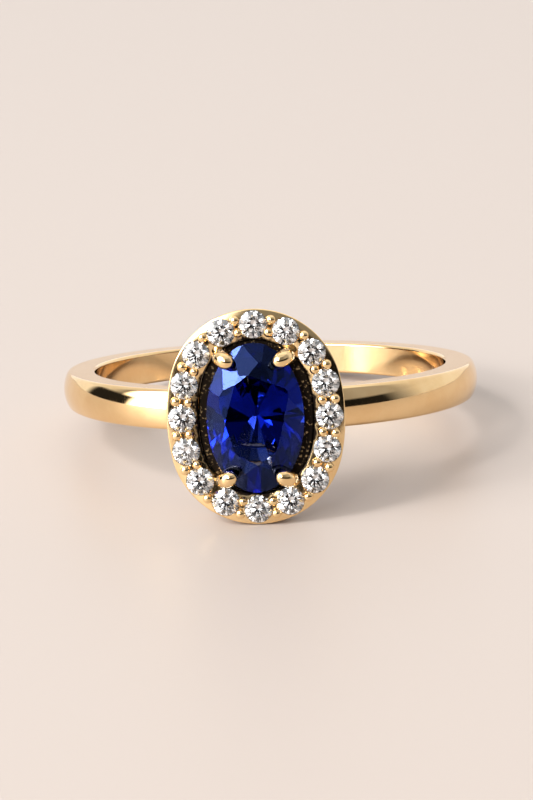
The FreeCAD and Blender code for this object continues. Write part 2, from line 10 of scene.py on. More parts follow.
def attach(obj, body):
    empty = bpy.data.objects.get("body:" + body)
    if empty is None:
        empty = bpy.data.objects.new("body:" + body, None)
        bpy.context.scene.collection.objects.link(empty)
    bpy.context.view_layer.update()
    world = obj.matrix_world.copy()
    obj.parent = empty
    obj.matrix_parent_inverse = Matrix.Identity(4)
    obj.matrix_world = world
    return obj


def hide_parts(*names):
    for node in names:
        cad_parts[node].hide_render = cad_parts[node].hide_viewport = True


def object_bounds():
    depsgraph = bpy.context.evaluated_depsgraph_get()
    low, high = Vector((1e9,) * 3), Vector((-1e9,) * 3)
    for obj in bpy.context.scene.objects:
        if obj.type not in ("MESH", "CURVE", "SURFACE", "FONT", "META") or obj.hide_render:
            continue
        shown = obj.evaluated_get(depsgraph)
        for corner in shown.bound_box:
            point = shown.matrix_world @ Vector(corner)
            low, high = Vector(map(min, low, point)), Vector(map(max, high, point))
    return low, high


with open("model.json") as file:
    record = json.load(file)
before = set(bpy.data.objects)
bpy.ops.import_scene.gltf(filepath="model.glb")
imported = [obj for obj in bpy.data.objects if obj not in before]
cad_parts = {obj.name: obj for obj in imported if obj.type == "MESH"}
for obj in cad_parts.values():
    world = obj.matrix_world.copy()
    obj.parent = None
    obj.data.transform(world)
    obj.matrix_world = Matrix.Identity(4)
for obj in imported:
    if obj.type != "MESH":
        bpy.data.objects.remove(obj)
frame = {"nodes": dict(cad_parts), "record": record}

# An engagement ring lying on its side: an oval sapphire in four claws, sixteen round diamonds in an oval
# tray with raised grains, two gallery rails under the head, and a plain polished band.
#
# Shapes are drawn in millimetres about the finger. Its axis is Z, the head points along -Y, and "height" is
# the distance in front of the axis, along -Y. Each finished mesh is then laid down as the ring lies, in
# metres.

CAD_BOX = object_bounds()
MM = 0.001
BORE = next(mount for mount in frame["record"]["mounts"] if mount["name"] == "finger_bore")
LEAN = math.atan2(BORE["axis"][1], BORE["axis"][2])
LAID_DOWN = Matrix.Rotation(-LEAN, 4, "X") @ Matrix.Scale(MM, 4)


def node_box(node):
    """A CAD node's lowest and highest corners about the finger, in millimetres."""
    mesh = frame["nodes"][node].data
    points = np.empty(len(mesh.vertices) * 3, np.float32)
    mesh.vertices.foreach_get("co", points)
    turn = np.array(LAID_DOWN.inverted())[:3, :3]
    points = points.reshape(-1, 3) @ turn.T
    return Vector(map(float, points.min(0))), Vector(map(float, points.max(0)))


# ---- sizes in millimetres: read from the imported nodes, or the drawing's own where no box shows them ----

FINGER_RADIUS = BORE["dims"]["r_mm"]
BAND_LOW, BAND_HIGH = node_box("shank")
BAND_CROWN_RADIUS = min(BAND_HIGH.x, -BAND_LOW.x)
BAND_EDGE_RADIUS = 9.8
BAND_FRONT_WIDTH = 1.9
BAND_BACK_WIDTH = 1.5
BAND_OUTER_ROUND = 0.22
BAND_INNER_ROUND = 0.16
SADDLE_HEIGHT = -BAND_LOW.y

HALO_NODES = [f"halo_diamond_{number:02d}" for number in range(1, 17)]
HALO_CENTRES = [(low + high) / 2 for low, high in map(node_box, HALO_NODES)]
HALO_OVAL = (4.2, 3.33, 3.23)        # half length, half width and end radius
HALO_STONE_RADIUS = 0.625
HALO_GIRDLE_HEIGHT = 11.66
HALO_TURN_STEP = 17.0                # degrees that a stone is turned on its own axis past the one before
GRAIN_TURN_STEP = 50.0               # the same for a grain

TRAY_LOW, TRAY_HIGH = node_box("halo_tray")
TRAY_BACK_HEIGHT = -TRAY_HIGH.y
TRAY_FRONT_HEIGHT = 11.75
TRAY_EDGE_ALLOWANCE = 0.003          # keeps the tray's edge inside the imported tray's box
TRAY_OUTER_OFFSET = min(TRAY_HIGH.z, -TRAY_LOW.z) - HALO_OVAL[0] - TRAY_EDGE_ALLOWANCE
TRAY_INNER_OFFSET = 0.7
TRAY_CROWN_DROP = 0.1                # how far the front falls from the line of stones to the outer edge
TRAY_TAPER = math.tan(math.radians(8))
SEAT_CLEARANCE = 0.01                # gap between a stone and the metal that holds it
AZURE_RADIUS = 0.35
GRAIN_HEIGHT = 0.21
GRAIN_RADIUS = GRAIN_HEIGHT * 1.12
GRAIN_OFFSET = 0.29
GRAIN_TO_CLAW_ANGLE = 8.0            # degrees from a claw within which it takes the inner grain's place

CENTER_HALF_WIDTH = 2.2
CENTER_HALF_LENGTH = 3.4
CENTER_GIRDLE_HEIGHT = 11.95

CLAW_AZIMUTH = 28.2
CLAW_WIRE_RADIUS = 0.375
CLAW_FOOT_RADIUS = 1.65
CLAW_STEM_RADIUS = 3.15
CLAW_BEND_HEIGHT = 12.0
CLAW_LEAN = 60.0
CLAW_TWIST = 36.0                    # degrees that a tip turns to follow the stone's outline


# ---- how finely shapes are drawn ----

BAND_STEPS = 400
TRAY_STEPS = 360
RAIL_STEPS = 160
METAL_SHARP_ANGLE = 25               # degrees from which a metal edge stays sharp
CLAW_SHARP_ANGLE = 50                # the same for a claw, whose notch edges are soft
TRAY_SHARP_ANGLE = 28                # and for the tray, whose rims are crisp
CENTER_STONE_SIDES = 96              # flat sides of the centre stone's girdle
ROUND_STONE_SIDES = 32               # and of a halo stone's
DRILL_SIDES = 64                     # sides of the drills for the halo stones' seats
GRAIN_SIDES = 28                     # sides of a raised grain
STONE_MERGE = 1e-4                   # doubled points of a cut stone nearer than this become one


# ---- plane outlines ----

class Oval:
    """A four-arc oval, long along Z, with places measured clockwise from its top as the head is seen."""

    def __init__(self, half_length, half_width, end_radius):
        self.end = end_radius
        self.shift = half_length - end_radius
        self.side = (half_width ** 2 + self.shift ** 2 - end_radius ** 2) / (2 * (half_width - end_radius))
        self.inset = self.side - half_width
        self.spread = math.atan2(self.inset, self.shift)
        self.end_run = self.end * self.spread
        self.quarter = self.end_run + self.side * (math.pi / 2 - self.spread)

    def at(self, fraction):
        """The point at a fraction of the way round and the outward direction, each as (x, z)."""
        turn, rest = divmod(fraction % 1 * 4 * self.quarter, self.quarter)
        if turn % 2:
            rest = self.quarter - rest
        if rest < self.end_run:
            angle, centre, radius = rest / self.end, (0.0, self.shift), self.end
        else:
            angle = self.spread + (rest - self.end_run) / self.side
            centre, radius = (-self.inset, 0.0), self.side
        right = 1 if turn < 2 else -1
        up = 1 if turn in (0, 3) else -1
        across, along = math.sin(angle), math.cos(angle)
        return ((right * (centre[0] + radius * across), up * (centre[1] + radius * along)),
                (right * across, up * along))


def rounded(corners, radii, steps=6, support=0.02):
    """A closed outline with rounded corners, with support points beside each round to keep the flats flat."""
    outline = []
    for i, (corner, radius) in enumerate(zip(corners, radii)):
        here = Vector(corner)
        before = (Vector(corners[i - 1]) - here).normalized()
        after = (Vector(corners[(i + 1) % len(corners)]) - here).normalized()
        if not radius:
            outline.append(tuple(here))
            continue
        half = before.angle(after) / 2
        reach = radius / math.tan(half)
        centre = here + (before + after).normalized() * (radius / math.sin(half))
        first, last = here + before * reach - centre, here + after * reach - centre
        start = math.atan2(first.y, first.x)
        sweep = (math.atan2(last.y, last.x) - start + math.pi) % (2 * math.pi) - math.pi
        outline.append(tuple(here + before * (reach + support)))
        for step in range(steps + 1):
            angle = start + sweep * step / steps
            outline.append((centre.x + radius * math.cos(angle), centre.y + radius * math.sin(angle)))
        outline.append(tuple(here + after * (reach + support)))
    return outline


def bent_line(start, heading, steps, spacing=0.05):
    """Points and headings along straights and tangent bends in a plane.

    Each step is (length,) for a straight or (radius, degrees) for a bend, to the left above 0 degrees.
    """
    here, facing = Vector(start), math.radians(heading)
    line = [(here.copy(), facing)]
    for amount, *angle in steps:
        turn = math.radians(angle[0]) if angle else 0.0
        length = amount * abs(turn) if angle else amount
        count = max(2, round(length / spacing))
        chord = 2 * amount * abs(math.sin(turn / count / 2)) if angle else length / count
        for _ in range(count):
            facing += turn / count / 2
            here += Vector((math.cos(facing), math.sin(facing))) * chord
            facing += turn / count / 2
            line.append((here.copy(), facing))
    return line


# ---- meshes ----

def mesh_of(name, points, faces):
    """A mesh from its points and faces."""
    mesh = bpy.data.meshes.new(name)
    mesh.from_pydata([tuple(point) for point in points], [], faces)
    mesh.update()
    return mesh


def loft(name, rings, joined):
    """A skin over rings of points. Joined, the last ring meets the first; otherwise both ends are capped."""
    size, count = len(rings[0]), len(rings)
    faces = []
    for i in range(count if joined else count - 1):
        a, b = i * size, (i + 1) % count * size
        faces += [(a + j, a + (j + 1) % size, b + (j + 1) % size, b + j) for j in range(size)]
    if not joined:
        faces += [tuple(reversed(range(size))), tuple(range((count - 1) * size, count * size))]
    return outward(mesh_of(name, [point for ring in rings for point in ring], faces))


def outward(mesh, merge=1e-5):
    """Merge doubled points and turn every face outwards."""
    work = bmesh.new()
    work.from_mesh(mesh)
    bmesh.ops.remove_doubles(work, verts=work.verts, dist=merge)
    bmesh.ops.recalc_face_normals(work, faces=work.faces)
    if work.calc_volume(signed=True) < 0:
        bmesh.ops.reverse_faces(work, faces=work.faces)
    work.to_mesh(mesh)
    work.free()
    return mesh


def smooth(mesh, sharp_angle=35):
    """Shade smooth, but for edges sharper than an angle in degrees."""
    mesh.shade_smooth()
    mesh.set_sharp_from_angle(angle=math.radians(sharp_angle))
    return mesh


def add_object(name, mesh):
    """An object in the scene that holds a mesh."""
    thing = bpy.data.objects.new(name, mesh)
    bpy.context.scene.collection.objects.link(thing)
    return thing


def evaluated_mesh(thing):
    """Keep what an object's modifiers make of it as its plain mesh, and take the modifiers off."""
    graph = bpy.context.evaluated_depsgraph_get()
    mesh = bpy.data.meshes.new_from_object(thing.evaluated_get(graph))
    thing.modifiers.clear()
    thing.data = mesh
    return mesh


def cut_away(thing, tool):
    """Take one object's solid out of another's, and drop the tool."""
    modifier = thing.modifiers.new("cut", "BOOLEAN")
    modifier.operation = "DIFFERENCE"
    modifier.solver = "EXACT"
    modifier.object = tool
    mesh = evaluated_mesh(thing)
    bpy.data.objects.remove(tool)
    return mesh


def place_piece(thing, material, slot, *nodes):
    thing.data.transform(LAID_DOWN)
    thing.data.materials.clear()
    thing.data.materials.append(material)
    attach(thing, "root")
    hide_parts(*nodes)


# ---- nodes ----

def add_node(tree, kind, inputs=(), **settings):
    """A node with its settings, and its inputs by name or number, each a value or another node's output."""
    node = tree.nodes.new(kind)
    for key, value in settings.items():
        setattr(node, key, value)
    for key, value in dict(inputs).items():
        if isinstance(value, bpy.types.NodeSocket):
            tree.links.new(value, node.inputs[key])
        else:
            node.inputs[key].default_value = value
    return node


def math_node(tree, operation, *values):
    """The result of one sum on values or other nodes' outputs."""
    return add_node(tree, "ShaderNodeMath", dict(enumerate(values)), operation=operation).outputs[0]


def between(tree, value, first, last):
    """From 0 at one value to 1 at another, and flat beyond them."""
    limits = {"Value": value, "From Min": first, "From Max": last}
    return add_node(tree, "ShaderNodeMapRange", limits).outputs[0]


def add_multiple(tree, base, value, factor):
    """A base plus the product of a value and a factor."""
    return math_node(tree, "MULTIPLY_ADD", value, factor, base)


def distance_along(tree, place, direction):
    """How far a place lies along one of the ring's own directions, in millimetres."""
    turned = (LAID_DOWN.to_3x3() @ Vector(direction)).normalized()
    node = add_node(tree, "ShaderNodeVectorMath", {0: place, 1: turned}, operation="DOT_PRODUCT")
    return node.outputs["Value"]


def mixed(tree, share, first, second):
    """A colour between two others, each a socket or a colour."""
    node = add_node(tree, "ShaderNodeMix", {0: share, 6: first, 7: second}, data_type="RGBA")
    return node.outputs[2]


# ---- geometry node trees ----

def new_tree(name, inputs):
    """An empty geometry tree with its inputs: (label, socket type, value)."""
    tree = bpy.data.node_groups.new(name, "GeometryNodeTree")
    tree.interface.new_socket("Geometry", in_out="INPUT", socket_type="NodeSocketGeometry")
    for label, kind, value in inputs:
        socket = tree.interface.new_socket(label, in_out="INPUT", socket_type=kind)
        if value is not None:
            socket.default_value = value
    tree.interface.new_socket("Geometry", in_out="OUTPUT", socket_type="NodeSocketGeometry")
    return tree, tree.nodes.new("NodeGroupInput"), tree.nodes.new("NodeGroupOutput")


def finish_tree(tree, geometry, material, leave):
    """End a tree in Realize Instances and Set Material."""
    real = add_node(tree, "GeometryNodeRealizeInstances", {"Geometry": geometry})
    dressed = add_node(tree, "GeometryNodeSetMaterial", {"Geometry": real.outputs[0], "Material": material})
    tree.links.new(dressed.outputs[0], leave.inputs[0])


def run_tree(thing, tree, **values):
    """Run a geometry tree on an object with its named inputs, and keep the result as a plain mesh."""
    modifier = thing.modifiers.new(tree.name, "NODES")
    modifier.node_group = tree
    for socket in tree.interface.items_tree:
        label = socket.name.lower().replace(" ", "_")
        if socket.in_out == "INPUT" and label in values:
            modifier[socket.identifier] = values[label]
    return evaluated_mesh(thing)


def band_tree():
    """Sweep the band's section round the finger, narrow it towards the back and flatten it under the head."""
    tree, entry, leave = new_tree("band_round_finger", [
        ("Finger Radius", "NodeSocketFloat", 8.5), ("Crown Radius", "NodeSocketFloat", 10.05),
        ("Back Share", "NodeSocketFloat", 0.8), ("Saddle Height", "NodeSocketFloat", 9.75),
        ("Segments", "NodeSocketInt", 360), ("Material", "NodeSocketMaterial", None)])
    section = add_node(tree, "GeometryNodeMeshToCurve", {"Mesh": entry.outputs["Geometry"]})
    circle = add_node(tree, "GeometryNodeCurvePrimitiveCircle", {
        "Resolution": entry.outputs["Segments"], "Radius": entry.outputs["Finger Radius"]})
    path = add_node(tree, "GeometryNodeSetCurveNormal", {"Curve": circle.outputs[0]}, mode="Z_UP")
    swept = add_node(tree, "GeometryNodeCurveToMesh", {
        "Curve": path.outputs[0], "Profile Curve": section.outputs[0]})
    place = add_node(tree, "GeometryNodeInputPosition")
    parts = add_node(tree, "ShaderNodeSeparateXYZ", {0: place.outputs[0]}).outputs
    crown = entry.outputs["Crown Radius"]
    share = add_node(tree, "ShaderNodeMapRange", {
        "Value": parts[1], "From Min": math_node(tree, "MULTIPLY", crown, -1.0), "From Max": crown,
        "To Min": 1.0, "To Max": entry.outputs["Back Share"]})
    flat = math_node(tree, "MULTIPLY", entry.outputs["Saddle Height"], -1.0)
    moved = add_node(tree, "ShaderNodeCombineXYZ", {
        0: parts[0], 1: math_node(tree, "MAXIMUM", parts[1], flat),
        2: math_node(tree, "MULTIPLY", parts[2], share.outputs[0])})
    shaped = add_node(tree, "GeometryNodeSetPosition", {
        "Geometry": swept.outputs[0], "Position": moved.outputs[0]})
    finish_tree(tree, shaped.outputs[0], entry.outputs["Material"], leave)
    return tree


def scatter_tree():
    """Set a copy of one small part on each point, turned step by step, with a slight seeded tilt and size."""
    tree, entry, leave = new_tree("part_on_each_spot", [
        ("Part", "NodeSocketObject", None), ("Turn Step", "NodeSocketFloat", 0.0),
        ("Tilt", "NodeSocketFloat", 0.0), ("Size Spread", "NodeSocketFloat", 0.0),
        ("Seed", "NodeSocketInt", 1), ("Material", "NodeSocketMaterial", None)])
    part = add_node(tree, "GeometryNodeObjectInfo", {"Object": entry.outputs["Part"], "As Instance": True})
    number = add_node(tree, "GeometryNodeInputIndex").outputs[0]
    least = math_node(tree, "MULTIPLY", entry.outputs["Tilt"], -1.0)
    tilts = []
    for extra in (0, 1):
        seed = math_node(tree, "ADD", entry.outputs["Seed"], float(extra))
        spread = add_node(tree, "FunctionNodeRandomValue", data_type="FLOAT")
        for label, source in (("Min", least), ("Max", entry.outputs["Tilt"]), ("Seed", seed)):
            tree.links.new(source, next(s for s in spread.inputs if s.name == label and s.enabled))
        tilts.append(next(s for s in spread.outputs if s.enabled))
    turn = math_node(tree, "MULTIPLY", number, entry.outputs["Turn Step"])
    turned = add_node(tree, "ShaderNodeCombineXYZ", {0: tilts[0], 1: turn, 2: tilts[1]})
    smallest = math_node(tree, "SUBTRACT", 1.0, entry.outputs["Size Spread"])
    size = add_node(tree, "FunctionNodeRandomValue", data_type="FLOAT")
    for label, source in (("Min", smallest), ("Seed", entry.outputs["Seed"])):
        tree.links.new(source, next(s for s in size.inputs if s.name == label and s.enabled))
    scale = next(s for s in size.outputs if s.enabled)
    spots = add_node(tree, "GeometryNodeMeshToPoints", {"Mesh": entry.outputs["Geometry"]})
    copies = add_node(tree, "GeometryNodeInstanceOnPoints", {
        "Points": spots.outputs[0], "Instance": part.outputs["Geometry"], "Scale": scale})
    tree.links.new(turned.outputs[0], copies.inputs["Rotation"])
    finish_tree(tree, copies.outputs[0], entry.outputs["Material"], leave)
    return tree


# ---- materials ----

def shader_group(name, inputs, outputs):
    """A shader group with its entry and exit. Inputs are (label, socket type, value)."""
    group = bpy.data.node_groups.new(name, "ShaderNodeTree")
    for label, kind, value in inputs:
        socket = group.interface.new_socket(label, in_out="INPUT", socket_type=kind)
        if value is not None:
            socket.default_value = value
    for label, kind in outputs:
        group.interface.new_socket(label, in_out="OUTPUT", socket_type=kind)
    return group, group.nodes.new("NodeGroupInput"), group.nodes.new("NodeGroupOutput")


def hairline_group():
    """Fine hairlines that polishing and wear leave: straight, sparse, and in several directions."""
    group, entry, leave = shader_group("polish_hairlines", [
        ("Vector", "NodeSocketVector", None), ("Density", "NodeSocketFloat", 6.0),
        ("Cover", "NodeSocketFloat", 0.2)], [("Mask", "NodeSocketFloat")])
    total = None
    for turn, stretch in ((0.4, 0.05), (1.5, 0.04), (2.5, 0.06)):
        mapped = add_node(group, "ShaderNodeMapping", {
            "Vector": entry.outputs["Vector"], "Rotation": (turn * 0.7, turn * 1.3, turn),
            "Scale": (1.0, stretch, stretch)})
        lines = add_node(group, "ShaderNodeTexNoise", {
            "Vector": mapped.outputs[0], "Scale": entry.outputs["Density"], "Detail": 3.0, "Roughness": 0.7})
        ridge = math_node(group, "ABSOLUTE", math_node(group, "SUBTRACT", lines.outputs[0], 0.5))
        narrow = add_node(group, "ShaderNodeMapRange", {
            "Value": ridge, "From Min": 0.0, "From Max": 0.012, "To Min": 1.0, "To Max": 0.0})
        total = narrow.outputs[0] if total is None else math_node(group, "MAXIMUM", total, narrow.outputs[0])
    patches = add_node(group, "ShaderNodeTexNoise", {
        "Vector": entry.outputs["Vector"], "Scale": 0.9, "Detail": 2.0})
    here = add_node(group, "ShaderNodeMapRange", {
        "Value": patches.outputs[0], "From Min": 0.42, "From Max": 0.66, "To Max": entry.outputs["Cover"]})
    group.links.new(math_node(group, "MULTIPLY", total, here.outputs[0]), leave.inputs["Mask"])
    return group


def handling_group():
    """The dull film of handling: soft patches of skin oil and dust, and how much each dulls the polish."""
    group, entry, leave = shader_group("handling_film", [
        ("Vector", "NodeSocketVector", None), ("Patch Size", "NodeSocketFloat", 1.4),
        ("Clean Roughness", "NodeSocketFloat", 0.05), ("Dull Roughness", "NodeSocketFloat", 0.15)],
        [("Roughness", "NodeSocketFloat"), ("Mask", "NodeSocketFloat")])
    size = math_node(group, "DIVIDE", 1.0, entry.outputs["Patch Size"])
    film = add_node(group, "ShaderNodeTexNoise", {
        "Vector": entry.outputs["Vector"], "Scale": size, "Detail": 5.0, "Roughness": 0.62})
    mask = between(group, film.outputs[0], 0.38, 0.72)
    dull = add_node(group, "ShaderNodeMapRange", {
        "Value": mask, "To Min": entry.outputs["Clean Roughness"], "To Max": entry.outputs["Dull Roughness"]})
    group.links.new(dull.outputs[0], leave.inputs["Roughness"])
    group.links.new(mask, leave.inputs["Mask"])
    return group


HAIRLINES = hairline_group()
HANDLING = handling_group()


def new_material(name):
    """A material, its Principled shader, and Object coordinates in millimetres."""
    material = bpy.data.materials.new(name)
    material.use_nodes = True
    tree = material.node_tree
    place = add_node(tree, "ShaderNodeTexCoord")
    scaled = add_node(tree, "ShaderNodeMapping", {
        "Vector": place.outputs["Object"], "Scale": (1 / MM, 1 / MM, 1 / MM)})
    return material, tree, tree.nodes["Principled BSDF"], scaled.outputs[0]


def make_gold(name, light, warm, clean, dull, density, cover, waviness):
    """Polished yellow gold: clean and dulled patches, hairlines, and a faint hand-polished waviness.

    The colour and roughness go from light and clean to warm and dull where the metal has been handled.
    Density and cover are of the hairlines, and waviness is in tenths of a millimetre.
    """
    scratch_roughness, scratch_depth, wave_scale, bump_strength = 0.25, 0.01, 0.55, 0.6
    material, tree, skin, place = new_material(name)
    film = add_node(tree, "ShaderNodeGroup", node_tree=HANDLING)
    lines = add_node(tree, "ShaderNodeGroup", node_tree=HAIRLINES)
    for group in (film, lines):
        tree.links.new(place, group.inputs["Vector"])
    film.inputs["Clean Roughness"].default_value = clean
    film.inputs["Dull Roughness"].default_value = dull
    lines.inputs["Density"].default_value = density
    lines.inputs["Cover"].default_value = cover
    roughness = add_multiple(tree, film.outputs["Roughness"], lines.outputs["Mask"], scratch_roughness)
    tree.links.new(roughness, skin.inputs["Roughness"])
    tone = mixed(tree, film.outputs["Mask"], (*light, 1), (*warm, 1))
    tree.links.new(tone, skin.inputs["Base Color"])
    waves = add_node(tree, "ShaderNodeTexNoise", {"Vector": place, "Scale": wave_scale, "Detail": 1.0})
    scratches = math_node(tree, "MULTIPLY", lines.outputs["Mask"], -scratch_depth)
    height = add_multiple(tree, scratches, waves.outputs[0], waviness)
    bump = add_node(tree, "ShaderNodeBump", {
        "Height": height, "Strength": bump_strength, "Distance": 0.1 * MM})
    tree.links.new(bump.outputs[0], skin.inputs["Normal"])
    skin.inputs["Metallic"].default_value = 1.0
    return material


def paint_recess_shade(material, height, oval=None):
    """Paint dark shade, with small unshaded specks, over a gold in front of a height: painted shade where
    shade falls in the recess.

    With an oval, (half width, half length), only the metal near its edge or within it is darkened, raggedly.
    """
    shade_colour, recess_roughness, blur, unshaded_speck_share = (0.02, 0.014, 0.01, 1), 0.45, 0.04, 0.85
    raggedness, dark_reach, unshaded_reach, speck_start, speck_full = 0.6, 1.38, 1.5, 0.6, 0.66
    tree = material.node_tree
    skin = tree.nodes["Principled BSDF"]
    place = next(node for node in tree.nodes if node.type == "MAPPING").outputs[0]
    speck_noise = add_node(tree, "ShaderNodeTexNoise", {
        "Vector": place, "Scale": 7.0, "Detail": 3.0, "Roughness": 0.6})
    cover = between(tree, distance_along(tree, place, (0, -1, 0)), height - blur, height + blur)
    if oval:
        ragged = add_node(tree, "ShaderNodeTexNoise", {"Vector": place, "Scale": 2.6, "Detail": 4.0})
        reach = math_node(tree, "MULTIPLY", ragged.outputs[0], raggedness)
        for direction, half in (((1, 0, 0), oval[0]), ((0, 0, 1), oval[1])):
            share = math_node(tree, "DIVIDE", distance_along(tree, place, direction), half)
            reach = math_node(tree, "ADD", reach, math_node(tree, "MULTIPLY", share, share))
        cover = math_node(tree, "MULTIPLY", cover, between(tree, reach, unshaded_reach, dark_reach))
    unshaded_speck = math_node(tree, "MULTIPLY", between(tree, speck_noise.outputs[0], speck_start, speck_full), unshaded_speck_share)
    cover = math_node(tree, "MULTIPLY", cover, math_node(tree, "SUBTRACT", 1.0, unshaded_speck))
    # Painted shade: the near-black colour is mixed over the gold's own colour, with unshaded specks left in
    # it.
    clean = skin.inputs["Base Color"].links[0].from_socket
    tree.links.new(mixed(tree, cover, clean, shade_colour), skin.inputs["Base Color"])
    polish = skin.inputs["Roughness"].links[0].from_socket
    tree.links.new(add_multiple(tree, polish, cover, recess_roughness), skin.inputs["Roughness"])
    return material


def make_gem(name, ior, tint, density, dull, glint=(1, 1, 1)):
    """A polished stone: clear body, coloured by depth, with the faintest film and a tint to its glint."""
    material, tree, skin, place = new_material(name)
    film = add_node(tree, "ShaderNodeGroup", {"Dull Roughness": dull}, node_tree=HANDLING)
    film.inputs["Clean Roughness"].default_value = 0.0
    tree.links.new(place, film.inputs["Vector"])
    tree.links.new(film.outputs["Roughness"], skin.inputs["Roughness"])
    skin.inputs["Base Color"].default_value = (1, 1, 1, 1)
    skin.inputs["IOR"].default_value = ior
    skin.inputs["Transmission Weight"].default_value = 1.0
    skin.inputs["Specular Tint"].default_value = (*glint, 1)
    depth = add_node(tree, "ShaderNodeVolumeAbsorption")
    depth.inputs["Color"].default_value = (*tint, 1)
    depth.inputs["Density"].default_value = density
    tree.links.new(depth.outputs[0], tree.nodes["Material Output"].inputs["Volume"])
    return material


HEAD_LIGHT, HEAD_WARM = (0.93, 0.68, 0.36), (0.88, 0.59, 0.28)
BAND_GOLD = make_gold("band_yellow_gold", light=(0.90, 0.64, 0.34), warm=(0.84, 0.56, 0.27), clean=0.025,
                      dull=0.09, density=5.0, cover=0.35, waviness=0.03)
HEAD_GOLD = make_gold("head_yellow_gold", HEAD_LIGHT, HEAD_WARM, clean=0.05, dull=0.15, density=9.0,
                      cover=0.25, waviness=0.015)
# The seat rail and the tray's inner edge get painted shade: a dark colour in the recess round the centre
# stone, where shade falls.
RAIL_GOLD = paint_recess_shade(
    make_gold("rail_yellow_gold", HEAD_LIGHT, HEAD_WARM, clean=0.08, dull=0.2, density=9.0, cover=0.3,
              waviness=0.015), height=11.24)
TRAY_GOLD = paint_recess_shade(
    make_gold("tray_yellow_gold", HEAD_LIGHT, HEAD_WARM, clean=0.07, dull=0.18, density=9.0, cover=0.25,
              waviness=0.015), height=11.3, oval=(2.63, 3.5))
SAPPHIRE = make_gem("royal_blue_sapphire", ior=1.77, tint=(0.005, 0.22, 0.75), density=1250.0, dull=0.01,
                    glint=(0.13, 0.22, 0.75))
DIAMOND = make_gem("white_diamond", ior=2.42, tint=(0.95, 0.97, 0.99), density=10.0, dull=0.01)


# ---- the band and the rails ----

def make_shank():
    """The band: a low-domed section with softened edges, carried round the finger."""
    half = BAND_FRONT_WIDTH / 2
    rise = BAND_CROWN_RADIUS - BAND_EDGE_RADIUS
    dome = (half ** 2 + rise ** 2) / (2 * rise)
    lean = math.asin(half / dome)
    crown = [(BAND_CROWN_RADIUS - dome * (1 - math.cos(a)), dome * math.sin(a))
             for a in (lean * step / 10 for step in range(-8, 9))]
    corners = [(FINGER_RADIUS, half), (FINGER_RADIUS, -half), (BAND_EDGE_RADIUS, -half), *crown,
               (BAND_EDGE_RADIUS, half)]
    radii = [BAND_INNER_ROUND, BAND_INNER_ROUND, BAND_OUTER_ROUND, *[0] * len(crown), BAND_OUTER_ROUND]
    section = [(radius - FINGER_RADIUS, z) for radius, z in rounded(corners, radii)]
    count = len(section)
    outline = bpy.data.meshes.new("band_section")
    edges = [(i, (i + 1) % count) for i in range(count)]
    outline.from_pydata([(*point, 0.0) for point in section], edges, [])
    band = add_object("shank_band", outline)
    run_tree(band, band_tree(), finger_radius=FINGER_RADIUS, crown_radius=BAND_CROWN_RADIUS,
             back_share=BAND_BACK_WIDTH / BAND_FRONT_WIDTH, saddle_height=SADDLE_HEIGHT, segments=BAND_STEPS,
             material=BAND_GOLD)
    smooth(outward(band.data), METAL_SHARP_ANGLE)
    place_piece(band, BAND_GOLD, "gold", "shank")


def sweep_oval(name, oval, section, steps):
    """Carry a section of (offset, height) points round an oval."""
    rings = []
    for step in range(steps):
        (x, z), (right, up) = oval.at(step / steps)
        rings.append([(x + right * offset, -height, z + up * offset) for offset, height in section])
    return loft(name, rings, joined=True)


def make_rail(name, node, material, oval, half_wall, back, depth, edge_round):
    """A gallery rail: an oval hoop with softened edges, inside the claws."""
    front = back + depth
    corners = [(-half_wall, back), (half_wall, back), (half_wall, front), (-half_wall, front)]
    section = rounded(corners, [edge_round] * 4)
    mesh = smooth(sweep_oval(name, Oval(*oval), section, RAIL_STEPS), METAL_SHARP_ANGLE)
    place_piece(add_object(name, mesh), material, "gold", node)


# ---- the centre stone ----

def half_space_cut(work, point, normal):
    """Cut a convex solid by a plane, and close the cut with one flat facet."""
    everything = work.verts[:] + work.edges[:] + work.faces[:]
    made = bmesh.ops.bisect_plane(work, geom=everything, dist=1e-6, plane_co=point, plane_no=normal,
                                  clear_outer=True)
    edges = [item for item in made["geom_cut"] if isinstance(item, bmesh.types.BMEdge)]
    if len(edges) > 2:
        bmesh.ops.contextual_create(work, geom=edges)


def cut_stone(name, half_width, half_length, facets, sides):
    """A stone ground from an oval block by flat facets.

    Each facet is (azimuth, slope, run, height): at its own azimuth it passes the given height at the
    distance run from the middle, in girdle radii, and rises inwards by the slope. A pavilion facet's slope is
    negative.
    """
    block = [(math.sin(2 * math.pi * i / sides), math.cos(2 * math.pi * i / sides)) for i in range(sides)]
    mesh = loft(name, [[(x, -up, z) for x, z in block] for up in (-1.2, 0.8)], joined=False)
    work = bmesh.new()
    work.from_mesh(mesh)
    for azimuth, slope, run, height in facets:
        across, along = math.sin(math.radians(azimuth)), math.cos(math.radians(azimuth))
        steep, sign = abs(slope), -1 if slope < 0 else 1
        point = Vector((across * run, -height, along * run))
        normal = Vector((across * steep, -sign, along * steep)) if run else Vector((0, -1, 0))
        half_space_cut(work, point, normal)
    bmesh.ops.recalc_face_normals(work, faces=work.faces)
    work.to_mesh(mesh)
    work.free()
    mesh.transform(Matrix.Diagonal((half_width, half_width, half_length, 1)))
    return mesh


